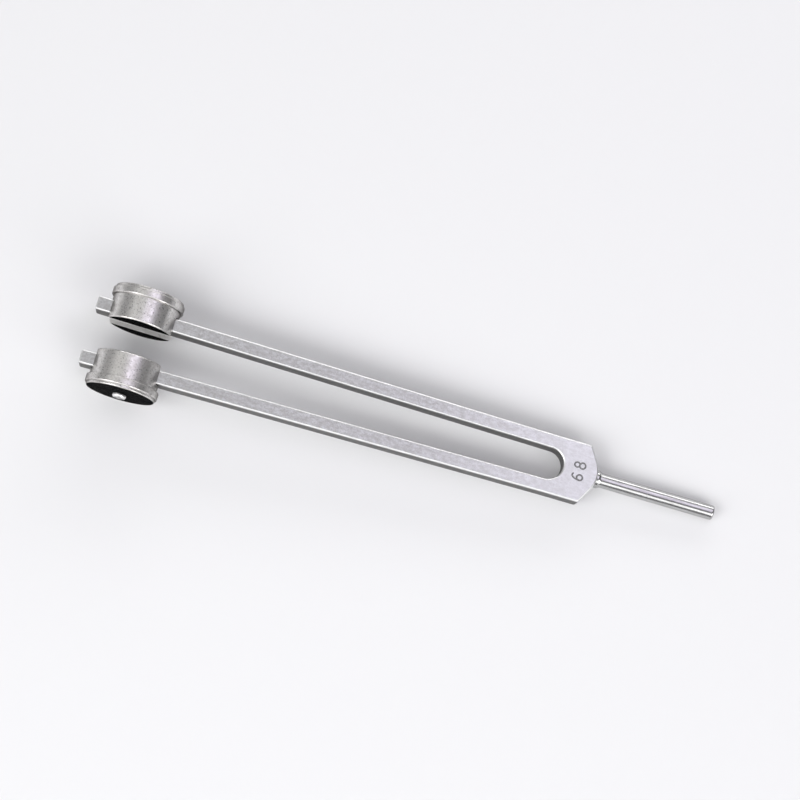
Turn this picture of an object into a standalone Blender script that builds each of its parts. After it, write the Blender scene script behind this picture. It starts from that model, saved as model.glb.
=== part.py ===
"""Weighted tuning fork with a round stem.

The fork is one slotted aluminium bar. A turned stem is seated in its nose, and a flanged
drum is screwed to each tine near the tip. The stem lies along X with its free end at the
origin, the two tines point to -X side by side in Y, and Z is the bar's depth.
"""

import math

import bmesh
import bpy
from mathutils import Matrix, Vector

# Clearance between pieces that touch
FIT_GAP = 0.0003

# Fork body, cut from one flat bar
BODY_WIDTH = 0.0254
BODY_DEPTH = 0.009525
TINE_WIDTH = 0.0060
TINE_LENGTH = 0.2085
TINE_SPLAY_DEG = 0.67
YOKE_LENGTH = 0.0097
NOSE_SLOPE_DEG = 30.0
NOSE_RADIUS = 0.0117
BODY_EDGE_ROUND = 0.0008

# Stem, turned with a cone shoulder and a spigot that goes into the nose
STEM_DIAMETER = 0.00635
STEM_REACH = 0.0523
STEM_END_ROUND = 0.0009
COLLAR_DIAMETER = 0.0077
COLLAR_SEAT_DEPTH = 0.0012
COLLAR_LENGTH = 0.0017
CONE_LENGTH = 0.0014
SPIGOT_DIAMETER = 0.0045
SPIGOT_LENGTH = 0.0090
SPIGOT_CHAMFER = 0.0004

# Weight, turned with its axis across the fork
DRUM_DIAMETER = 0.0292
DRUM_LENGTH = 0.0109
FLANGE_DIAMETER = 0.0313
FLANGE_LENGTH = 0.0034
STEP_DIAMETER = 0.0298
STEP_LENGTH = 0.0012
DRUM_EDGE_ROUND = 0.0008
FLANGE_EDGE_ROUND = 0.0006
LIP_REACH = 0.0020
WEIGHT_FROM_TIP = 0.0201

# Screw that holds a weight to its tine
SCREW_DIAMETER = 0.0035
HEAD_DIAMETER = 0.0060
HEAD_HEIGHT = 0.0017
HEAD_ROUND = 0.0013
SOCKET_ACROSS_FLATS = 0.0025
SOCKET_DEPTH = 0.0010
SCREW_SHORT_OF_TINE = 0.0005

# Smoothness of round stretches
ARC_STEPS = 16
CORNER_STEPS = 4
BODY_EDGE_STEPS = 3
DRUM_STEPS = 96
STEM_STEPS = 64
SCREW_STEPS = 40
SHARP_ANGLE_DEG = 32.0

# Cutters run this far past the faces they open
CUT_MARGIN = 0.002

# Sizes that follow from the ones above
HALF_WIDTH = BODY_WIDTH / 2
SLOT_RADIUS = HALF_WIDTH - TINE_WIDTH
NOSE_SLOPE = math.radians(NOSE_SLOPE_DEG)
NOSE_CENTRE = (HALF_WIDTH * math.sin(NOSE_SLOPE) - NOSE_RADIUS) / math.cos(NOSE_SLOPE)
NOSE_TIP_X = -STEM_REACH
SHOULDER_X = NOSE_TIP_X - NOSE_CENTRE - NOSE_RADIUS
SLOT_CENTRE_X = SHOULDER_X - YOKE_LENGTH - SLOT_RADIUS
TINE_RUN = TINE_LENGTH - SLOT_RADIUS
COLLAR_BACK_X = NOSE_TIP_X - COLLAR_SEAT_DEPTH + FIT_GAP
WEIGHT_LENGTH = DRUM_LENGTH + FLANGE_LENGTH + STEP_LENGTH
WEIGHT_INNER_Y = -TINE_WIDTH / 2 - LIP_REACH
WEIGHT_OUTER_Y = WEIGHT_INNER_Y + WEIGHT_LENGTH
SCREW_HOLE_RADIUS = SCREW_DIAMETER / 2 + FIT_GAP

# Places of the +Y tine and its weight. The -Y ones are the same, turned half round X.
TINE_PLACE = Matrix.Translation((SLOT_CENTRE_X, SLOT_RADIUS + TINE_WIDTH / 2, 0)) @ Matrix.Rotation(
    -math.radians(TINE_SPLAY_DEG), 4, "Z"
)
WEIGHT_PLACE = TINE_PLACE @ Matrix.Translation((WEIGHT_FROM_TIP - TINE_RUN, 0, 0))
HALF_TURN = Matrix.Rotation(math.pi, 4, "X")
SIDES = {"a": Matrix.Identity(4), "b": HALF_TURN}


# Scene and material helpers


def clear_scene():
    for existing in list(bpy.data.objects):
        bpy.data.objects.remove(existing, do_unlink=True)


def metal(name, colour, roughness):
    material = bpy.data.materials.new(name)
    material.use_nodes = True
    shader = material.node_tree.nodes["Principled BSDF"]
    shader.inputs["Base Color"].default_value = (*colour, 1.0)
    shader.inputs["Metallic"].default_value = 1.0
    shader.inputs["Roughness"].default_value = roughness
    return material


def body_metal():
    return metal("fork_body", (0.72, 0.72, 0.74), 0.38)


def stem_metal():
    return metal("stem", (0.78, 0.78, 0.79), 0.24)


def weight_metal(side):
    return metal(f"weight_{side}", (0.70, 0.70, 0.71), 0.34)


def screw_metal(side):
    return metal(f"screw_{side}", (0.80, 0.80, 0.80), 0.22)


def add_object(name, bm, place=None):
    """Make an object from a bmesh, with its place kept in the object's matrix."""
    bmesh.ops.recalc_face_normals(bm, faces=bm.faces)
    mesh = bpy.data.meshes.new(name)
    bm.to_mesh(mesh)
    bm.free()
    mesh.shade_smooth()
    mesh.set_sharp_from_angle(angle=math.radians(SHARP_ANGLE_DEG))
    obj = bpy.data.objects.new(name, mesh)
    bpy.context.collection.objects.link(obj)
    if place is not None:
        obj.matrix_world = place
    return obj


def cut(target, cutter):
    """Subtract a cutter from a piece with a Boolean that stays on the piece."""
    cutter.hide_render = True
    cutter.display_type = "WIRE"
    boolean = target.modifiers.new(f"cut {cutter.name}", "BOOLEAN")
    boolean.operation = "DIFFERENCE"
    boolean.solver = "EXACT"
    boolean.object = cutter


# Outline helpers


def arc(centre_x, centre_y, radius, start, end, steps):
    """Points of an arc between two angles in radians, both ends included."""
    points = []
    for step in range(steps + 1):
        angle = start + (end - start) * step / steps
        points.append(Vector((centre_x + radius * math.cos(angle), centre_y + radius * math.sin(angle))))
    return points


def rounded_corner(before, corner, after, radius):
    """Points of a fillet that replaces one corner of an outline."""
    to_before = (before - corner).normalized()
    to_after = (after - corner).normalized()
    half_angle = to_before.angle(to_after) / 2
    centre = corner + (to_before + to_after).normalized() * radius / math.sin(half_angle)
    first = corner + to_before * radius / math.tan(half_angle) - centre
    sweep = first.angle_signed(corner + to_after * radius / math.tan(half_angle) - centre)
    points = []
    for step in range(CORNER_STEPS + 1):
        turn = Matrix.Rotation(-sweep * step / CORNER_STEPS, 2)
        points.append(centre + turn @ first)
    return points


def profile(corners):
    """An outline from (x, y, round) corners. A round of 0 keeps the corner sharp."""
    places = [Vector((x, y)) for x, y, _ in corners]
    points = []
    for index, (_, _, radius) in enumerate(corners):
        if radius == 0:
            points.append(places[index])
        else:
            following = places[(index + 1) % len(places)]
            points += rounded_corner(places[index - 1], places[index], following, radius)
    return points


def turned(points, steps, closed):
    """Revolve (axial, radius) points about X. An open outline is capped at both ends."""
    bm = bmesh.new()
    verts = [bm.verts.new((axial, radius, 0)) for axial, radius in points]
    pairs = list(zip(verts, verts[1:]))
    if closed:
        pairs.append((verts[-1], verts[0]))
    edges = [bm.edges.new(pair) for pair in pairs]
    bmesh.ops.spin(
        bm,
        geom=verts + edges,
        cent=(0, 0, 0),
        axis=(1, 0, 0),
        angle=2 * math.pi,
        steps=steps,
        use_merge=True,
    )
    if not closed:
        bmesh.ops.holes_fill(bm, edges=bm.edges)
    return bm


def along_y(bm):
    """Turn a piece revolved about X so that its axis is Y."""
    bmesh.ops.rotate(bm, verts=bm.verts, cent=(0, 0, 0), matrix=Matrix.Rotation(math.pi / 2, 3, "Z"))
    return bm


def box(low, high):
    bm = bmesh.new()
    size = Vector(high) - Vector(low)
    middle = (Vector(high) + Vector(low)) / 2
    bmesh.ops.create_cube(bm, size=1, matrix=Matrix.Translation(middle) @ Matrix.Diagonal((*size, 1)))
    return bm


# Fork body


def fork_half_outline():
    """Outline of the +Y half, from the nose's tip round the tine to the slot's end."""
    tip_outer = TINE_PLACE @ Vector((-TINE_RUN, TINE_WIDTH / 2, 0))
    tip_inner = TINE_PLACE @ Vector((-TINE_RUN, -TINE_WIDTH / 2, 0))
    nose_x = SHOULDER_X + NOSE_CENTRE
    points = arc(nose_x, 0, NOSE_RADIUS, 0, NOSE_SLOPE, ARC_STEPS // 2)
    points.append(Vector((SHOULDER_X, HALF_WIDTH)))
    points.append(Vector((SLOT_CENTRE_X, HALF_WIDTH)))
    points.append(tip_outer.to_2d())
    points.append(tip_inner.to_2d())
    points += arc(SLOT_CENTRE_X, 0, SLOT_RADIUS, math.pi / 2, 0, ARC_STEPS)
    return points


def fork_blank():
    """The bar with its slot and nose, square-edged, before the edges are rounded."""
    half = fork_half_outline()
    mirrored = [Vector((point.x, -point.y)) for point in reversed(half[1:-1])]
    bm = bmesh.new()
    ring = [bm.verts.new((point.x, point.y, -BODY_DEPTH / 2)) for point in half + mirrored]
    face = bm.faces.new(ring)
    extruded = bmesh.ops.extrude_face_region(bm, geom=[face])
    raised = [item for item in extruded["geom"] if isinstance(item, bmesh.types.BMVert)]
    bmesh.ops.translate(bm, verts=raised, vec=(0, 0, BODY_DEPTH))
    return bm


def stem_seat_cutter():
    """Seat for the stem's collar and bore for its spigot."""
    bore = SPIGOT_DIAMETER / 2 + FIT_GAP
    seat = COLLAR_DIAMETER / 2 + FIT_GAP
    seat_x = COLLAR_BACK_X - FIT_GAP
    bottom_x = COLLAR_BACK_X - SPIGOT_LENGTH - FIT_GAP
    points = [(bottom_x, bore), (seat_x, bore), (seat_x, seat), (NOSE_TIP_X + CUT_MARGIN, seat)]
    return add_object("cut_stem_seat", turned(points, STEM_STEPS, closed=False))


def screw_hole_cutter(side, turn):
    reach = TINE_WIDTH / 2 + CUT_MARGIN
    points = [(-reach, SCREW_HOLE_RADIUS), (reach, SCREW_HOLE_RADIUS)]
    bm = along_y(turned(points, SCREW_STEPS, closed=False))
    return add_object(f"cut_tine_hole_{side}", bm, turn @ WEIGHT_PLACE)


def build_fork_body():
    body = add_object("fork_body", fork_blank())
    rounding = body.modifiers.new("rounded edges", "BEVEL")
    rounding.width = BODY_EDGE_ROUND
    rounding.segments = BODY_EDGE_STEPS
    rounding.limit_method = "ANGLE"
    rounding.angle_limit = math.radians(50)
    for side, turn in SIDES.items():
        cut(body, screw_hole_cutter(side, turn))
    cut(body, stem_seat_cutter())
    body.data.materials.append(body_metal())


# Stem


def build_stem():
    spigot_x = COLLAR_BACK_X - SPIGOT_LENGTH
    spigot = SPIGOT_DIAMETER / 2
    collar = COLLAR_DIAMETER / 2
    stem = STEM_DIAMETER / 2
    cone_x = COLLAR_BACK_X + COLLAR_LENGTH
    corners = [
        (spigot_x, spigot - SPIGOT_CHAMFER, 0),
        (spigot_x + SPIGOT_CHAMFER, spigot, 0),
        (COLLAR_BACK_X, spigot, 0),
        (COLLAR_BACK_X, collar, 0),
        (cone_x, collar, 0),
        (cone_x + CONE_LENGTH, stem, 0),
        (0, stem, STEM_END_ROUND),
        (0, (stem - STEM_END_ROUND) / 2, 0),
    ]
    rod = add_object("stem", turned(profile(corners), STEM_STEPS, closed=False))
    rod.data.materials.append(stem_metal())


# Weights


def weight_blank():
    """The turned drum with its flange, outer step and screw hole."""
    drum = DRUM_DIAMETER / 2
    flange = FLANGE_DIAMETER / 2
    step = STEP_DIAMETER / 2
    flange_y = WEIGHT_INNER_Y + DRUM_LENGTH
    step_y = flange_y + FLANGE_LENGTH
    corners = [
        (WEIGHT_INNER_Y, SCREW_HOLE_RADIUS, 0),
        (WEIGHT_INNER_Y, drum, DRUM_EDGE_ROUND),
        (flange_y, drum, 0),
        (flange_y, flange, FLANGE_EDGE_ROUND),
        (step_y, flange, FLANGE_EDGE_ROUND),
        (step_y, step, 0),
        (WEIGHT_OUTER_Y, step, FLANGE_EDGE_ROUND),
        (WEIGHT_OUTER_Y, SCREW_HOLE_RADIUS, 0),
    ]
    return along_y(turned(profile(corners), DRUM_STEPS, closed=True))


def tine_slot_cutter(side, place):
    """Slot across the drum's inner end, open at both sides, that the tine lies in."""
    reach = DRUM_DIAMETER / 2 + CUT_MARGIN
    half_height = BODY_DEPTH / 2 + FIT_GAP
    low = (-reach, WEIGHT_INNER_Y - CUT_MARGIN, -half_height)
    high = (reach, TINE_WIDTH / 2 + FIT_GAP, half_height)
    return add_object(f"cut_tine_slot_{side}", box(low, high), place)


def build_weight(side, turn):
    place = turn @ WEIGHT_PLACE
    weight = add_object(f"weight_{side}", weight_blank(), place)
    cut(weight, tine_slot_cutter(side, place))
    weight.data.materials.append(weight_metal(side))


# Screws


def socket_cutter(side, place, top_y):
    """Hexagonal wrench socket in a screw's head."""
    corner_radius = SOCKET_ACROSS_FLATS / 2 / math.cos(math.pi / 6)
    points = [(top_y - SOCKET_DEPTH, corner_radius), (top_y + CUT_MARGIN, corner_radius)]
    bm = along_y(turned(points, 6, closed=False))
    return add_object(f"cut_socket_{side}", bm, place)


def build_screw(side, turn):
    place = turn @ WEIGHT_PLACE
    seat_y = WEIGHT_OUTER_Y + FIT_GAP
    top_y = seat_y + HEAD_HEIGHT
    tip_y = -TINE_WIDTH / 2 + SCREW_SHORT_OF_TINE
    shank = SCREW_DIAMETER / 2
    head = HEAD_DIAMETER / 2
    corners = [
        (tip_y, shank / 2, 0),
        (tip_y, shank, 0),
        (seat_y, shank, 0),
        (seat_y, head, 0),
        (top_y, head, HEAD_ROUND),
        (top_y, head / 2, 0),
    ]
    bm = along_y(turned(profile(corners), SCREW_STEPS, closed=False))
    screw = add_object(f"screw_{side}", bm, place)
    cut(screw, socket_cutter(side, place, top_y))
    screw.data.materials.append(screw_metal(side))


clear_scene()
build_fork_body()
build_stem()
for side_name, side_turn in SIDES.items():
    build_weight(side_name, side_turn)
    build_screw(side_name, side_turn)
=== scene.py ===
import math

import bmesh
import bpy
from mathutils import Matrix, Vector


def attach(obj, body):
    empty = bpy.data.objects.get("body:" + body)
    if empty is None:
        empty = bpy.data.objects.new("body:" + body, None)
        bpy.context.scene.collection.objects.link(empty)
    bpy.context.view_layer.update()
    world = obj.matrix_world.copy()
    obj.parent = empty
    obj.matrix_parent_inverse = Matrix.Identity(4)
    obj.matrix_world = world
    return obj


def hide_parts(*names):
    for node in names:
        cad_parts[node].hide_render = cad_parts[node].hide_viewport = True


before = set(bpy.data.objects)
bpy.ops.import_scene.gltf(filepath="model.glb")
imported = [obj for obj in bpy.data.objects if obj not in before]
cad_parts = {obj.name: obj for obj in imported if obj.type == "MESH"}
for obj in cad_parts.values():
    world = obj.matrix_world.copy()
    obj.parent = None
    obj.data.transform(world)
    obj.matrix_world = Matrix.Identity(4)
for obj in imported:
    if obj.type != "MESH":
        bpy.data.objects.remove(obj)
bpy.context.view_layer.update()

# Sizes in metres. The fork lies along X with its stem's free end at the origin, as in the CAD.

FIT_GAP = 0.0003

# Bar with the two tines and the yoke
BODY_WIDTH = 0.0254
BODY_DEPTH = 0.009525
TINE_WIDTH = 0.0060
TINE_LENGTH = 0.2085
TINE_SPLAY = math.radians(0.67)
YOKE_LENGTH = 0.0097
NOSE_SLOPE = math.radians(30.0)
NOSE_RADIUS = 0.0117
BODY_EDGE_ROUND = 0.0008

# Stem
STEM_DIAMETER = 0.00635
STEM_REACH = 0.0523
STEM_END_ROUND = 0.0009
COLLAR_DIAMETER = 0.0077
COLLAR_SEAT_DEPTH = 0.0012
COLLAR_LENGTH = 0.0017
COLLAR_EDGE_ROUND = 0.0003
CONE_LENGTH = 0.0014
SPIGOT_DIAMETER = 0.0045
SPIGOT_LENGTH = 0.0090
SPIGOT_CHAMFER = 0.0004

# Weight
DRUM_DIAMETER = 0.0292
DRUM_LENGTH = 0.0109
FLANGE_DIAMETER = 0.0313
FLANGE_LENGTH = 0.0034
STEP_DIAMETER = 0.0298
STEP_LENGTH = 0.0012
DRUM_EDGE_ROUND = 0.0008
FLANGE_EDGE_ROUND = 0.0006
LIP_REACH = 0.0020
WEIGHT_FROM_TIP = 0.0201

# Screw
SCREW_DIAMETER = 0.0035
HEAD_DIAMETER = 0.0060
HEAD_HEIGHT = 0.0017
HEAD_ROUND = 0.0013
SOCKET_ACROSS_FLATS = 0.0025
SOCKET_DEPTH = 0.0010
SOCKET_SIDES = 6
SCREW_SHORT_OF_TINE = 0.0005

# Pitch number stamped in the yoke. Its strokes are drawn in millimetres, as (right, up) from a
# digit's middle: an oval is (centre up, half width, half height).
MM_PER_METRE = 1000
DIGIT_STROKE_RADIUS = 0.00040
DIGIT_STROKE_LIFT = 0.00016
DIGIT_ADVANCE = 0.0026
MARK_X = -0.0608
MARK_Y = 0.0002
SIX_OVAL = (-1.05, 1.2, 1.25)
SIX_TAIL_CENTRE = (0.55, -0.75)
SIX_TAIL_RADII = (1.62, 3.02)
SIX_TAIL_START_DEG = 188
SIX_TAIL_SWEEP_DEG = -128
EIGHT_TOP_OVAL = (1.2, 1.05, 1.1)
EIGHT_BOTTOM_OVAL = (-1.15, 1.25, 1.25)

# Smoothness
SLOT_END_STEPS = 72
NOSE_STEPS = 40
BODY_EDGE_STEPS = 6
CORNER_STEPS = 8
TURN_STEPS = 192
SCREW_STEPS = 96
STROKE_STEPS = 12
OVAL_STEPS = 40
TAIL_STEPS = 18
SHARP_ANGLE = math.radians(32.0)
BEVEL_ANGLE = math.radians(50.0)

# Cutters run this far past the faces they open, and corners closer than this become one
CUT_MARGIN = 0.002
MERGE_DISTANCE = 0.000005

# Where one colour gives way to the next. The bar's edges, with their burnish and painted highlight, and
# its side faces' painted shade are counted in edge rounds from its top or bottom face, and its painted
# reflection starts before the slot's end and is full past it. The others are distances from the face or
# wall that has its own colour: the painted dark reflection on the drums' and screws' ends, and the
# painted highlight in the slots.
EDGE_SHINE_START = 1.0
EDGE_SHINE_FULL = 0.5
EDGE_SHINE_END = 0.06
SIDE_SHADE_FULL = 1.3
SIDE_SHADE_START = 0.7
SHEEN_BEFORE_SLOT_END = 0.06
SHEEN_PAST_SLOT_END = 0.015
END_FACE_START = 0.00012
END_FACE_FULL = 0.00004
SLOT_HIGHLIGHT_END = 0.00006
SLOT_HIGHLIGHT_FULL = 0.00002
SCREW_FACE_START = 0.00015
SCREW_FACE_FULL = 0.00005

# Floor, lights and camera
FLOOR_SIZE = 6.0
FLOOR_SQUARES = 24
FLOOR_COLOUR = (0.78, 0.78, 0.79, 1.0)
FLOOR_GLOW = {"From Min": 0.6, "From Max": 2.6, "To Min": 0.04, "To Max": 0.55}
OVER_WEIGHTS = (-0.25, 0.1, 0.0)
OVER_YOKE = (0.0, 0.1, 0.0)
FORK_MIDDLE = (-0.14, 0.0, 0.0)
WHITE = (1.0, 1.0, 1.0)
LIGHTS = (
    # name, place, aim, size, watts, colour
    ("overhead_wide", (-0.35, 0.32, 1.00), OVER_WEIGHTS, (1.6, 0.9), 1.65, (1.0, 1.0, 0.97)),
    ("overhead_right", (0.17, 0.32, 0.98), OVER_YOKE, (0.46, 0.9), 1.35, (0.88, 0.81, 1.0)),
    ("front_top", (-0.10, -0.80, 0.90), FORK_MIDDLE, (1.4, 0.6), 4.6, WHITE),
    ("back", (-0.10, 1.3, 0.50), FORK_MIDDLE, (1.6, 0.4), 6.5, WHITE),
    ("key_left", (-1.4, -1.0, 1.2), FORK_MIDDLE, (1.5, 1.5), 20.0, WHITE),
    ("key_right", (1.3, -1.1, 1.2), FORK_MIDDLE, (1.5, 1.5), 19.0, WHITE),
)
SKY_COLOUR = (0.98, 0.985, 1.0, 1.0)
SKY_LEFT_TO_RIGHT = {"From Min": -0.4, "From Max": 0.7, "To Min": 0.28, "To Max": 0.12}
SKY_HORIZON_TO_TOP = {"From Min": 0.0, "From Max": 0.12, "To Min": 0.68}
CAMERA_PLACE = (-0.17688, -0.18756, 0.92328)
CAMERA_TURNS_DEG = (("Z", 16.611), ("X", 10.933), ("Y", -5.462))
CAMERA_LENS = 100.0
CAMERA_SENSOR = 36.0
CAMERA_CLIP_START = 0.01

# Sizes that follow from the ones above
HALF_WIDTH = BODY_WIDTH / 2
HALF_DEPTH = BODY_DEPTH / 2
SLOT_RADIUS = HALF_WIDTH - TINE_WIDTH
NOSE_CENTRE = (HALF_WIDTH * math.sin(NOSE_SLOPE) - NOSE_RADIUS) / math.cos(NOSE_SLOPE)
NOSE_TIP_X = -STEM_REACH
SHOULDER_X = NOSE_TIP_X - NOSE_CENTRE - NOSE_RADIUS
SLOT_CENTRE_X = SHOULDER_X - YOKE_LENGTH - SLOT_RADIUS
TINE_RUN = TINE_LENGTH - SLOT_RADIUS
COLLAR_BACK_X = NOSE_TIP_X - COLLAR_SEAT_DEPTH + FIT_GAP
WEIGHT_LENGTH = DRUM_LENGTH + FLANGE_LENGTH + STEP_LENGTH
WEIGHT_INNER_Y = -TINE_WIDTH / 2 - LIP_REACH
WEIGHT_OUTER_Y = WEIGHT_INNER_Y + WEIGHT_LENGTH
SCREW_HOLE_RADIUS = SCREW_DIAMETER / 2 + FIT_GAP

TINE_PLACE = Matrix.Translation((SLOT_CENTRE_X, SLOT_RADIUS + TINE_WIDTH / 2, 0)) @ Matrix.Rotation(
    -TINE_SPLAY, 4, "Z"
)
WEIGHT_PLACE = TINE_PLACE @ Matrix.Translation((WEIGHT_FROM_TIP - TINE_RUN, 0, 0))
SIDES = {"a": Matrix.Identity(4), "b": Matrix.Rotation(math.pi, 4, "X")}


# Mesh helpers


def make_object(name, bm, place=None):
    bmesh.ops.recalc_face_normals(bm, faces=bm.faces)
    mesh = bpy.data.meshes.new(name)
    bm.to_mesh(mesh)
    bm.free()
    obj = bpy.data.objects.new(name, mesh)
    bpy.context.scene.collection.objects.link(obj)
    if place is not None:
        obj.matrix_world = place
    return obj


def apply_modifiers(obj):
    """Turn the piece's modifiers into its own mesh."""
    graph = bpy.context.evaluated_depsgraph_get()
    mesh = bpy.data.meshes.new_from_object(obj.evaluated_get(graph))
    mesh.name = obj.name
    obj.modifiers.clear()
    obj.data = mesh


def cut_away(target, cutters):
    """Subtract cutters from a piece one at a time, delete them, and merge the slivers they leave."""
    for cutter in cutters:
        boolean = target.modifiers.new("cut", "BOOLEAN")
        boolean.operation = "DIFFERENCE"
        boolean.solver = "EXACT"
        boolean.material_mode = "TRANSFER"
        boolean.object = cutter
        apply_modifiers(target)
        bpy.data.objects.remove(cutter, do_unlink=True)
    bm = bmesh.new()
    bm.from_mesh(target.data)
    bmesh.ops.remove_doubles(bm, verts=bm.verts, dist=MERGE_DISTANCE)
    bm.to_mesh(target.data)
    bm.free()


def smooth(obj):
    """Smooth shading that keeps flat faces flat and breaks at sharp edges."""
    obj.data.shade_smooth()
    obj.data.set_sharp_from_angle(angle=SHARP_ANGLE)
    weighted = obj.modifiers.new("flat faces stay flat", "WEIGHTED_NORMAL")
    weighted.keep_sharp = True
    weighted.mode = "FACE_AREA"


def arc(centre_x, centre_y, radius, start, end, steps):
    points = []
    for step in range(steps + 1):
        angle = start + (end - start) * step / steps
        points.append(Vector((centre_x + radius * math.cos(angle), centre_y + radius * math.sin(angle))))
    return points


def rounded_corner(before, corner, after, radius):
    to_before = (before - corner).normalized()
    to_after = (after - corner).normalized()
    half_angle = to_before.angle(to_after) / 2
    centre = corner + (to_before + to_after).normalized() * radius / math.sin(half_angle)
    first = corner + to_before * radius / math.tan(half_angle) - centre
    sweep = first.angle_signed(corner + to_after * radius / math.tan(half_angle) - centre)
    points = []
    for step in range(CORNER_STEPS + 1):
        turn = Matrix.Rotation(-sweep * step / CORNER_STEPS, 2)
        points.append(centre + turn @ first)
    return points


def profile(corners):
    """An outline from (axial, radius, round) corners. A round of 0 keeps the corner sharp."""
    places = [Vector((x, y)) for x, y, _ in corners]
    points = []
    for index, (_, _, radius) in enumerate(corners):
        if radius == 0:
            points.append(places[index])
        else:
            following = places[(index + 1) % len(places)]
            points += rounded_corner(places[index - 1], places[index], following, radius)
    return points


def turned(points, steps, closed):
    """Revolve (axial, radius) points about X. An open outline is capped at both ends."""
    bm = bmesh.new()
    verts = [bm.verts.new((axial, radius, 0)) for axial, radius in points]
    pairs = list(zip(verts, verts[1:]))
    if closed:
        pairs.append((verts[-1], verts[0]))
    edges = [bm.edges.new(pair) for pair in pairs]
    bmesh.ops.spin(
        bm,
        geom=verts + edges,
        cent=(0, 0, 0),
        axis=(1, 0, 0),
        angle=2 * math.pi,
        steps=steps,
        use_merge=True,
    )
    if not closed:
        bmesh.ops.holes_fill(bm, edges=bm.edges)
    return bm


def along_y(bm):
    bmesh.ops.rotate(bm, verts=bm.verts, cent=(0, 0, 0), matrix=Matrix.Rotation(math.pi / 2, 3, "Z"))
    return bm


def block(low, high):
    bm = bmesh.new()
    size = Vector(high) - Vector(low)
    middle = (Vector(high) + Vector(low)) / 2
    bmesh.ops.create_cube(bm, size=1, matrix=Matrix.Translation(middle) @ Matrix.Diagonal((*size, 1)))
    return bm


def stroke(path, radius, closed):
    """A round tube along a flat path of 3-D points, for cutting a groove."""
    bm = bmesh.new()
    rings = []
    count = len(path)
    for index, point in enumerate(path):
        if closed:
            ahead = path[(index + 1) % count] - path[index - 1]
        else:
            ahead = path[min(index + 1, count - 1)] - path[max(index - 1, 0)]
        ahead.normalize()
        across = ahead.cross(Vector((0, 0, 1)))
        ring = []
        for step in range(STROKE_STEPS):
            angle = 2 * math.pi * step / STROKE_STEPS
            offset = across * math.cos(angle) * radius + Vector((0, 0, math.sin(angle) * radius))
            ring.append(bm.verts.new(point + offset))
        rings.append(ring)
    spans = list(zip(rings, rings[1:]))
    if closed:
        spans.append((rings[-1], rings[0]))
    for first, second in spans:
        for step in range(STROKE_STEPS):
            after = (step + 1) % STROKE_STEPS
            bm.faces.new((first[step], first[after], second[after], second[step]))
    if not closed:
        bm.faces.new(rings[0])
        bm.faces.new(list(reversed(rings[-1])))
    return bm


# Material helpers. Coordinates are each piece's own, in metres, so a scale of 1000 is 1 mm.

# A Mix node has sockets of the same name for each kind of data. These are its colour ones.
MIX_FIRST = 6
MIX_SECOND = 7
MIX_RESULT = 2


class Finish:
    """A metallic material built from nodes."""

    def __init__(self, name, slot, roughness, edge_tint):
        """edge_tint below 1 dims the reflection at grazing angles."""
        self.material = bpy.data.materials.new(name)
        self.material.use_nodes = True
        self.tree = self.material.node_tree
        self.shader = self.tree.nodes["Principled BSDF"]
        self.shader.inputs["Metallic"].default_value = 1.0
        self.shader.inputs["Roughness"].default_value = roughness
        self.shader.inputs["Specular Tint"].default_value = (edge_tint, edge_tint, edge_tint, 1.0)
        self.slot = slot
        self.place = self.node("ShaderNodeTexCoord").outputs["Object"]
        self.bumps = None

    def node(self, kind, **settings):
        made = self.tree.nodes.new(kind)
        for key, value in settings.items():
            setattr(made, key, value)
        return made

    def feed(self, socket, value):
        if isinstance(value, bpy.types.NodeSocket):
            self.tree.links.new(value, socket)
        else:
            socket.default_value = value

    def stretched(self, x, y, z):
        mapping = self.node("ShaderNodeMapping")
        self.feed(mapping.inputs["Vector"], self.place)
        mapping.inputs["Scale"].default_value = (x, y, z)
        return mapping.outputs["Vector"]

    def noise(self, vector, scale, detail=2.0, rough=0.5):
        made = self.node("ShaderNodeTexNoise")
        self.feed(made.inputs["Vector"], vector)
        made.inputs["Scale"].default_value = scale
        made.inputs["Detail"].default_value = detail
        made.inputs["Roughness"].default_value = rough
        return made.outputs["Fac"]

    def remap(self, value, low, high, to_low, to_high):
        made = self.node("ShaderNodeMapRange", clamp=True)
        for name, setting in (
            ("Value", value),
            ("From Min", low),
            ("From Max", high),
            ("To Min", to_low),
            ("To Max", to_high),
        ):
            self.feed(made.inputs[name], setting)
        return made.outputs["Result"]

    def maths(self, operation, first, second=0.0):
        made = self.node("ShaderNodeMath", operation=operation)
        self.feed(made.inputs[0], first)
        self.feed(made.inputs[1], second)
        return made.outputs[0]

    def mix(self, factor, first, second):
        made = self.node("ShaderNodeMix", data_type="RGBA")
        self.feed(made.inputs["Factor"], factor)
        self.feed(made.inputs[MIX_FIRST], first)
        self.feed(made.inputs[MIX_SECOND], second)
        return made.outputs[MIX_RESULT]

    def part(self, axis):
        made = self.node("ShaderNodeSeparateXYZ")
        self.feed(made.inputs[0], self.place)
        return made.outputs[axis]

    def from_axis(self):
        """Distance from the piece's own Y axis."""
        made = self.node("ShaderNodeVectorMath", operation="LENGTH")
        self.feed(made.inputs[0], self.stretched(1.0, 0.0, 1.0))
        return made.outputs["Value"]

    def rings(self, value, pitch):
        """Waves that repeat each pitch along a measure."""
        return self.maths("SINE", self.maths("MULTIPLY", value, 2 * math.pi / pitch))

    def relief(self, height, distance, strength):
        """Bump, on top of any bump already there."""
        made = self.node("ShaderNodeBump")
        made.inputs["Distance"].default_value = distance
        made.inputs["Strength"].default_value = strength
        self.feed(made.inputs["Height"], height)
        if self.bumps is not None:
            self.feed(made.inputs["Normal"], self.bumps)
        self.bumps = made.outputs["Normal"]
        self.feed(self.shader.inputs["Normal"], self.bumps)

    def colour(self, value):
        self.feed(self.shader.inputs["Base Color"], value)

    def roughness(self, value):
        self.feed(self.shader.inputs["Roughness"], value)


def grey(level, warmth=0.0):
    return (level * (1 + warmth), level, level * (1 - warmth), 1.0)


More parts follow.
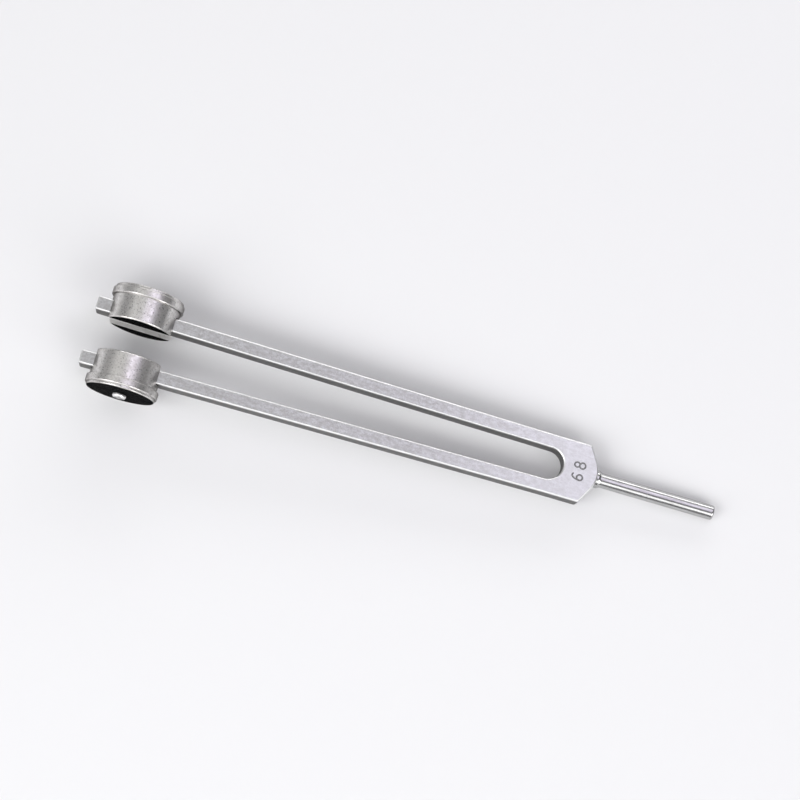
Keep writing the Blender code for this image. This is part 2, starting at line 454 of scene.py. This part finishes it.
def bar_finish():
    """Tumbled aluminium: fine pits and blotches, burnished edges with a painted highlight,
    side faces painted dark as painted shade, and a painted reflection lighter towards the yoke.
    """
    made = Finish("tumbled_aluminium", "fork_metal", roughness=0.4, edge_tint=0.45)
    blotch = made.noise(made.stretched(0.55, 1.0, 1.0), scale=800, detail=4.0, rough=0.65)
    cloud = made.noise(made.place, scale=90)
    grain = made.noise(made.place, scale=1500, detail=3.0, rough=0.6)
    side_streaks = made.noise(made.stretched(0.03, 1.0, 1.0), scale=2200, detail=3.0, rough=0.6)

    def down(rounds):
        return HALF_DEPTH - BODY_EDGE_ROUND * rounds

    # The rounded edges are painted near white: partly burnish, partly a painted highlight.
    height = made.maths("ABSOLUTE", made.part("Z"))
    into_edge = made.remap(height, down(EDGE_SHINE_START), down(EDGE_SHINE_FULL), 0.0, 1.0)
    out_of_edge = made.remap(height, down(EDGE_SHINE_END), HALF_DEPTH, 1.0, 0.0)
    burnish_and_highlight = made.maths("MULTIPLY", into_edge, out_of_edge)
    burnish_and_highlight = made.maths("MULTIPLY", burnish_and_highlight, made.remap(blotch, 0.3, 0.6, 0.75, 1.0))
    # Painted shade: the side faces are painted dark, a painted dark reflection of the shade beside the
    # bar.
    side = made.remap(height, down(SIDE_SHADE_FULL), down(SIDE_SHADE_START), 1.0, 0.0)
    face = made.mix(made.remap(blotch, 0.36, 0.64, 0.0, 1.0), grey(0.49, 0.012), grey(0.67, -0.012))
    face = made.mix(made.remap(grain, 0.50, 0.68, 0.0, 0.6), face, grey(0.36, 0.01))
    face = made.mix(made.remap(cloud, 0.35, 0.7, 0.0, 0.3), face, grey(0.53))
    # Painted reflection: the bar is painted lighter from before the slot's end onwards, over the yoke.
    sheen_start = SLOT_CENTRE_X - SHEEN_BEFORE_SLOT_END
    sheen_full = SLOT_CENTRE_X + SHEEN_PAST_SLOT_END
    yoke_sheen = made.remap(made.part("X"), sheen_start, sheen_full, 0.0, 0.55)
    face = made.mix(yoke_sheen, face, grey(0.86, -0.012))
    # Painted shade: the dark streaked colour of the side faces.
    painted_side_shade = made.mix(made.remap(side_streaks, 0.35, 0.65, 0.0, 1.0), grey(0.23, 0.02), grey(0.34, 0.01))
    face = made.mix(side, face, painted_side_shade)
    made.colour(made.mix(burnish_and_highlight, face, grey(0.97)))
    dull = made.remap(blotch, 0.3, 0.7, 0.46, 0.33)
    made.roughness(made.maths("SUBTRACT", dull, made.maths("MULTIPLY", burnish_and_highlight, 0.05)))
    made.relief(grain, distance=0.00004, strength=0.5)
    made.relief(blotch, distance=0.00008, strength=0.4)
    return made


def groove_finish():
    """Bottom of the stamped digits, darker than the bar around them."""
    made = Finish("stamped_groove", "fork_metal", roughness=0.5, edge_tint=0.5)
    grain = made.noise(made.place, scale=3000)
    made.colour(made.mix(made.remap(grain, 0.3, 0.7, 0.0, 1.0), grey(0.18), grey(0.34)))
    made.relief(grain, distance=0.00004, strength=0.5)
    return made


def stem_finish():
    """Bright drawn rod with faint marks round it and lengthwise handling scratches."""
    made = Finish("bright_turned_rod", "stem_metal", roughness=0.22, edge_tint=0.7)
    marks = made.noise(made.stretched(1.0, 0.03, 0.03), scale=1500)
    scratch = made.noise(made.stretched(0.05, 1.0, 1.0), scale=2600, detail=3.0, rough=0.6)
    cloud = made.noise(made.place, scale=240)
    made.colour(made.mix(made.remap(scratch, 0.38, 0.68, 0.0, 1.0), grey(0.60), grey(0.40, 0.01)))
    made.roughness(made.remap(cloud, 0.3, 0.7, 0.19, 0.25))
    made.relief(marks, distance=0.000004, strength=0.2)
    made.relief(scratch, distance=0.00001, strength=0.4)
    return made


def drum_finish(side):
    """Tumbled, pitted drum with marks round its side, faced ends painted near-black as a painted dark
    reflection, and slot faces painted near white as a painted highlight.
    """
    made = Finish(f"turned_aluminium_{side}", "weight_metal", roughness=0.34, edge_tint=0.1)
    axial = made.part("Y")
    outer_end = made.remap(
        axial, WEIGHT_OUTER_Y - END_FACE_START, WEIGHT_OUTER_Y - END_FACE_FULL, 0.0, 1.0
    )
    inner_end = made.remap(
        axial, WEIGHT_INNER_Y + END_FACE_FULL, WEIGHT_INNER_Y + END_FACE_START, 1.0, 0.0
    )
    ends = made.maths("ADD", outer_end, inner_end)
    wall = HALF_DEPTH + FIT_GAP
    floor = TINE_WIDTH / 2 + FIT_GAP
    in_slot = made.maths(
        "MULTIPLY",
        made.remap(
            made.maths("ABSOLUTE", made.part("Z")),
            wall + SLOT_HIGHLIGHT_FULL,
            wall + SLOT_HIGHLIGHT_END,
            1.0,
            0.0,
        ),
        made.remap(axial, floor + SLOT_HIGHLIGHT_FULL, floor + SLOT_HIGHLIGHT_END, 1.0, 0.0),
    )
    blotch = made.noise(made.place, scale=620, detail=3.0, rough=0.65)
    pits = made.noise(made.place, scale=1500, detail=3.0, rough=0.6)
    cloud = made.noise(made.place, scale=110)
    face = made.mix(made.remap(blotch, 0.35, 0.65, 0.0, 1.0), grey(0.66, 0.03), grey(0.86, 0.015))
    face = made.mix(made.remap(cloud, 0.4, 0.7, 0.0, 0.4), face, grey(0.62, 0.04))
    face = made.mix(made.remap(pits, 0.57, 0.66, 0.0, 0.8), face, grey(0.24, 0.02))
    # Painted reflection: the faced ends are painted near-black, a painted dark reflection.
    painted_dark_ends = made.mix(made.remap(pits, 0.35, 0.65, 0.0, 1.0), grey(0.045, -0.02), grey(0.085, -0.02))
    face = made.mix(ends, face, painted_dark_ends)
    # Painted highlight: the slot's faces are painted near white.
    made.colour(made.mix(in_slot, face, grey(0.94, 0.01)))
    made.roughness(made.remap(blotch, 0.3, 0.7, 0.40, 0.26))
    side_marks = made.rings(axial, pitch=0.00028)
    side_marks = made.maths("MULTIPLY", side_marks, made.maths("SUBTRACT", 1.0, ends))
    end_marks = made.maths("MULTIPLY", made.rings(made.from_axis(), pitch=0.00032), ends)
    made.relief(made.maths("ADD", side_marks, end_marks), distance=0.000004, strength=0.7)
    made.relief(pits, distance=0.00005, strength=0.45)
    return made


def screw_finish(side):
    """Bright satin steel, with the flat end of the domed head ringed and painted darker, a painted dark
    reflection.
    """
    made = Finish(f"plated_steel_{side}", "screw_metal", roughness=0.34, edge_tint=0.6)
    top = WEIGHT_OUTER_Y + FIT_GAP + HEAD_HEIGHT
    end = made.remap(made.part("Y"), top - SCREW_FACE_START, top - SCREW_FACE_FULL, 0.0, 1.0)
    cloud = made.noise(made.place, scale=900, detail=3.0)
    head = made.mix(made.remap(cloud, 0.35, 0.7, 0.0, 1.0), grey(0.97), grey(0.86, 0.01))
    # Painted reflection: the flat end of the head is painted dark grey.
    made.colour(made.mix(end, head, grey(0.34)))
    made.roughness(made.remap(cloud, 0.3, 0.7, 0.30, 0.38))
    end_marks = made.maths("MULTIPLY", made.rings(made.from_axis(), pitch=0.00028), end)
    made.relief(end_marks, distance=0.000003, strength=0.6)
    made.relief(cloud, distance=0.00002, strength=0.4)
    return made


def dress(obj, finish):
    obj.data.materials.clear()
    obj.data.materials.append(finish.material)


# Bar


def half_outline():
    """Outline of the +Y half, from the nose's tip round the tine to the slot's end."""
    tip_outer = TINE_PLACE @ Vector((-TINE_RUN, TINE_WIDTH / 2, 0))
    tip_inner = TINE_PLACE @ Vector((-TINE_RUN, -TINE_WIDTH / 2, 0))
    points = arc(SHOULDER_X + NOSE_CENTRE, 0, NOSE_RADIUS, 0, NOSE_SLOPE, NOSE_STEPS)
    points.append(Vector((SHOULDER_X, HALF_WIDTH)))
    points.append(Vector((SLOT_CENTRE_X, HALF_WIDTH)))
    points.append(tip_outer.to_2d())
    points.append(tip_inner.to_2d())
    points += arc(SLOT_CENTRE_X, 0, SLOT_RADIUS, math.pi / 2, 0, SLOT_END_STEPS)
    return points


def bar_blank():
    half = half_outline()
    mirrored = [Vector((point.x, -point.y)) for point in reversed(half[1:-1])]
    bm = bmesh.new()
    ring = [bm.verts.new((point.x, point.y, -HALF_DEPTH)) for point in half + mirrored]
    face = bm.faces.new(ring)
    extruded = bmesh.ops.extrude_face_region(bm, geom=[face])
    raised = [item for item in extruded["geom"] if isinstance(item, bmesh.types.BMVert)]
    bmesh.ops.translate(bm, verts=raised, vec=(0, 0, BODY_DEPTH))
    return bm


def stem_seat():
    bore = SPIGOT_DIAMETER / 2 + FIT_GAP
    seat = COLLAR_DIAMETER / 2 + FIT_GAP
    seat_x = COLLAR_BACK_X - FIT_GAP
    bottom_x = COLLAR_BACK_X - SPIGOT_LENGTH - FIT_GAP
    points = [(bottom_x, bore), (seat_x, bore), (seat_x, seat), (NOSE_TIP_X + CUT_MARGIN, seat)]
    return make_object("stem_seat_cutter", turned(points, SCREW_STEPS, closed=False))


def tine_hole(place):
    reach = TINE_WIDTH / 2 + CUT_MARGIN
    points = [(-reach, SCREW_HOLE_RADIUS), (reach, SCREW_HOLE_RADIUS)]
    return make_object("tine_hole_cutter", along_y(turned(points, SCREW_STEPS // 2, closed=False)), place)


def oval(centre_up, half_wide, half_high):
    """A closed stroke of a digit."""
    points = []
    for step in range(OVAL_STEPS):
        angle = 2 * math.pi * step / OVAL_STEPS
        points.append((half_wide * math.cos(angle), centre_up + half_high * math.sin(angle)))
    return points


def tail():
    """The curved upper stroke of a 6."""
    points = []
    for step in range(TAIL_STEPS + 1):
        angle = math.radians(SIX_TAIL_START_DEG + SIX_TAIL_SWEEP_DEG * step / TAIL_STEPS)
        right = SIX_TAIL_CENTRE[0] + SIX_TAIL_RADII[0] * math.cos(angle)
        up = SIX_TAIL_CENTRE[1] + SIX_TAIL_RADII[1] * math.sin(angle)
        points.append((right, up))
    return points


def digit_cutters(strokes, middle_y):
    """Tubes along a digit's strokes, with its up pointing along -X."""
    cutters = []
    for points, closed in strokes:
        path = []
        for right, up in points:
            x = MARK_X - up / MM_PER_METRE
            y = middle_y + right / MM_PER_METRE
            path.append(Vector((x, y, HALF_DEPTH + DIGIT_STROKE_LIFT)))
        cutters.append(make_object("digit_cutter", stroke(path, DIGIT_STROKE_RADIUS, closed)))
    return cutters


def build_bar():
    bar = make_object("fork_bar", bar_blank())
    dress(bar, bar_finish())
    groove_look = groove_finish()
    rounding = bar.modifiers.new("rounded edges", "BEVEL")
    rounding.width = BODY_EDGE_ROUND
    rounding.segments = BODY_EDGE_STEPS
    rounding.limit_method = "ANGLE"
    rounding.angle_limit = BEVEL_ANGLE
    apply_modifiers(bar)
    cut_away(bar, [tine_hole(turn @ WEIGHT_PLACE) for turn in SIDES.values()])
    six = [(oval(*SIX_OVAL), True), (tail(), False)]
    eight = [(oval(*EIGHT_TOP_OVAL), True), (oval(*EIGHT_BOTTOM_OVAL), True)]
    digits = digit_cutters(six, MARK_Y - DIGIT_ADVANCE)
    digits += digit_cutters(eight, MARK_Y + DIGIT_ADVANCE)
    for cutter in digits:
        cutter.data.materials.append(groove_look.material)
    cut_away(bar, digits)
    cut_away(bar, [stem_seat()])
    smooth(bar)
    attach(bar, "root")
    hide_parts("fork_body")


# Stem


def build_stem():
    spigot_x = COLLAR_BACK_X - SPIGOT_LENGTH
    spigot = SPIGOT_DIAMETER / 2
    collar = COLLAR_DIAMETER / 2
    stem = STEM_DIAMETER / 2
    cone_x = COLLAR_BACK_X + COLLAR_LENGTH
    corners = [
        (spigot_x, spigot - SPIGOT_CHAMFER, 0),
        (spigot_x + SPIGOT_CHAMFER, spigot, 0),
        (COLLAR_BACK_X, spigot, 0),
        (COLLAR_BACK_X, collar, 0),
        (cone_x, collar, COLLAR_EDGE_ROUND),
        (cone_x + CONE_LENGTH, stem, 0),
        (0, stem, STEM_END_ROUND),
        (0, (stem - STEM_END_ROUND) / 2, 0),
    ]
    rod = make_object("stem_rod", turned(profile(corners), TURN_STEPS, closed=False))
    dress(rod, stem_finish())
    smooth(rod)
    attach(rod, "root")
    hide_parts("stem")


# Weights


def weight_blank():
    drum = DRUM_DIAMETER / 2
    flange = FLANGE_DIAMETER / 2
    step = STEP_DIAMETER / 2
    flange_y = WEIGHT_INNER_Y + DRUM_LENGTH
    step_y = flange_y + FLANGE_LENGTH
    corners = [
        (WEIGHT_INNER_Y, SCREW_HOLE_RADIUS, 0),
        (WEIGHT_INNER_Y, drum, DRUM_EDGE_ROUND),
        (flange_y, drum, 0),
        (flange_y, flange, FLANGE_EDGE_ROUND),
        (step_y, flange, FLANGE_EDGE_ROUND),
        (step_y, step, 0),
        (WEIGHT_OUTER_Y, step, FLANGE_EDGE_ROUND),
        (WEIGHT_OUTER_Y, SCREW_HOLE_RADIUS, 0),
    ]
    return along_y(turned(profile(corners), TURN_STEPS, closed=True))


def tine_slot(place):
    reach = DRUM_DIAMETER / 2 + CUT_MARGIN
    half_height = HALF_DEPTH + FIT_GAP
    low = (-reach, WEIGHT_INNER_Y - CUT_MARGIN, -half_height)
    high = (reach, TINE_WIDTH / 2 + FIT_GAP, half_height)
    return make_object("tine_slot_cutter", block(low, high), place)


def build_weight(side, turn):
    place = turn @ WEIGHT_PLACE
    weight = make_object(f"drum_{side}", weight_blank(), place)
    cut_away(weight, [tine_slot(place)])
    dress(weight, drum_finish(side))
    smooth(weight)
    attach(weight, "root")
    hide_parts(f"weight_{side}")


# Screws


def socket_cutter(place, top_y):
    corner_radius = SOCKET_ACROSS_FLATS / 2 / math.cos(math.pi / SOCKET_SIDES)
    points = [(top_y - SOCKET_DEPTH, corner_radius), (top_y + CUT_MARGIN, corner_radius)]
    return make_object("socket_cutter", along_y(turned(points, SOCKET_SIDES, closed=False)), place)


def build_screw(side, turn):
    place = turn @ WEIGHT_PLACE
    seat_y = WEIGHT_OUTER_Y + FIT_GAP
    top_y = seat_y + HEAD_HEIGHT
    tip_y = -TINE_WIDTH / 2 + SCREW_SHORT_OF_TINE
    shank = SCREW_DIAMETER / 2
    head = HEAD_DIAMETER / 2
    corners = [
        (tip_y, shank / 2, 0),
        (tip_y, shank, 0),
        (seat_y, shank, 0),
        (seat_y, head, 0),
        (top_y, head, HEAD_ROUND),
        (top_y, head / 2, 0),
    ]
    screw = make_object(
        f"cap_screw_{side}", along_y(turned(profile(corners), SCREW_STEPS, closed=False)), place
    )
    cut_away(screw, [socket_cutter(place, top_y)])
    dress(screw, screw_finish(side))
    smooth(screw)
    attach(screw, "root")
    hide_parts(f"screw_{side}")


# Floor, light and camera


def rest_plane():
    """The plane that the stem's end and both flanges rest on, as a matrix."""
    stem = STEM_DIAMETER / 2
    run = -(WEIGHT_PLACE.translation.x + STEM_END_ROUND)
    reach = math.hypot(run, stem)
    pitch = math.asin(FLANGE_DIAMETER / 2 / reach) - math.atan2(stem, run)
    corner = Vector((-STEM_END_ROUND, 0, -stem))
    return Matrix.Translation(corner) @ Matrix.Rotation(-pitch, 4, "Y")


def map_range(tree, value, settings):
    """A Map Range node fed by a socket, with the settings that are given by name."""
    made = tree.nodes.new("ShaderNodeMapRange")
    for name, setting in settings.items():
        made.inputs[name].default_value = setting
    tree.links.new(value, made.inputs["Value"])
    return made


def build_floor():
    """Pale paper that glows a little with distance, so that it doesn't turn dark far off."""
    bm = bmesh.new()
    bmesh.ops.create_grid(
        bm, x_segments=FLOOR_SQUARES, y_segments=FLOOR_SQUARES, size=FLOOR_SIZE / 2
    )
    floor = make_object("floor", bm, rest_plane())
    look = bpy.data.materials.new("floor_paper")
    look.use_nodes = True
    tree = look.node_tree
    shader = tree.nodes["Principled BSDF"]
    shader.inputs["Base Color"].default_value = FLOOR_COLOUR
    shader.inputs["Roughness"].default_value = 0.9
    shader.inputs["Specular IOR Level"].default_value = 0.1
    shader.inputs["Emission Color"].default_value = (*WHITE, 1.0)
    place = tree.nodes.new("ShaderNodeTexCoord")
    distance = tree.nodes.new("ShaderNodeVectorMath")
    distance.operation = "LENGTH"
    tree.links.new(place.outputs["Object"], distance.inputs[0])
    glow = map_range(tree, distance.outputs["Value"], FLOOR_GLOW)
    tree.links.new(glow.outputs["Result"], shader.inputs["Emission Strength"])
    floor.data.materials.append(look)


def area_light(name, place, aim, size, power, colour):
    data = bpy.data.lights.new(name, "AREA")
    data.shape = "RECTANGLE"
    data.size, data.size_y = size
    data.energy = power
    data.color = colour
    light = bpy.data.objects.new(name, data)
    bpy.context.scene.collection.objects.link(light)
    light.location = place
    light.rotation_euler = (Vector(aim) - Vector(place)).to_track_quat("-Z", "Y").to_euler()
    light.visible_camera = False


def build_sky():
    """A dim sky over a pale horizon, brighter on the left than on the right."""
    world = bpy.data.worlds.new("studio")
    world.use_nodes = True
    tree = world.node_tree
    background = tree.nodes["Background"]
    background.inputs["Color"].default_value = SKY_COLOUR
    direction = tree.nodes.new("ShaderNodeTexCoord")
    split = tree.nodes.new("ShaderNodeSeparateXYZ")
    tree.links.new(direction.outputs["Generated"], split.inputs[0])
    at_top = map_range(tree, split.outputs["X"], SKY_LEFT_TO_RIGHT)
    strength = map_range(tree, split.outputs["Z"], SKY_HORIZON_TO_TOP)
    at_top.interpolation_type = "SMOOTHSTEP"
    strength.interpolation_type = "SMOOTHSTEP"
    tree.links.new(at_top.outputs["Result"], strength.inputs["To Max"])
    tree.links.new(strength.outputs["Result"], background.inputs["Strength"])
    bpy.context.scene.world = world


def build_camera():
    data = bpy.data.cameras.new("camera")
    data.lens = CAMERA_LENS
    data.sensor_width = CAMERA_SENSOR
    data.clip_start = CAMERA_CLIP_START
    camera = bpy.data.objects.new("camera", data)
    bpy.context.scene.collection.objects.link(camera)
    place = Matrix.Translation(CAMERA_PLACE)
    for axis, degrees in CAMERA_TURNS_DEG:
        place = place @ Matrix.Rotation(math.radians(degrees), 4, axis)
    camera.matrix_world = place
    bpy.context.scene.camera = camera


build_bar()
build_stem()
for side_name, side_turn in SIDES.items():
    build_weight(side_name, side_turn)
    build_screw(side_name, side_turn)
build_floor()
for light in LIGHTS:
    area_light(*light)
build_sky()
bpy.context.scene.view_settings.view_transform = "Standard"
build_camera()
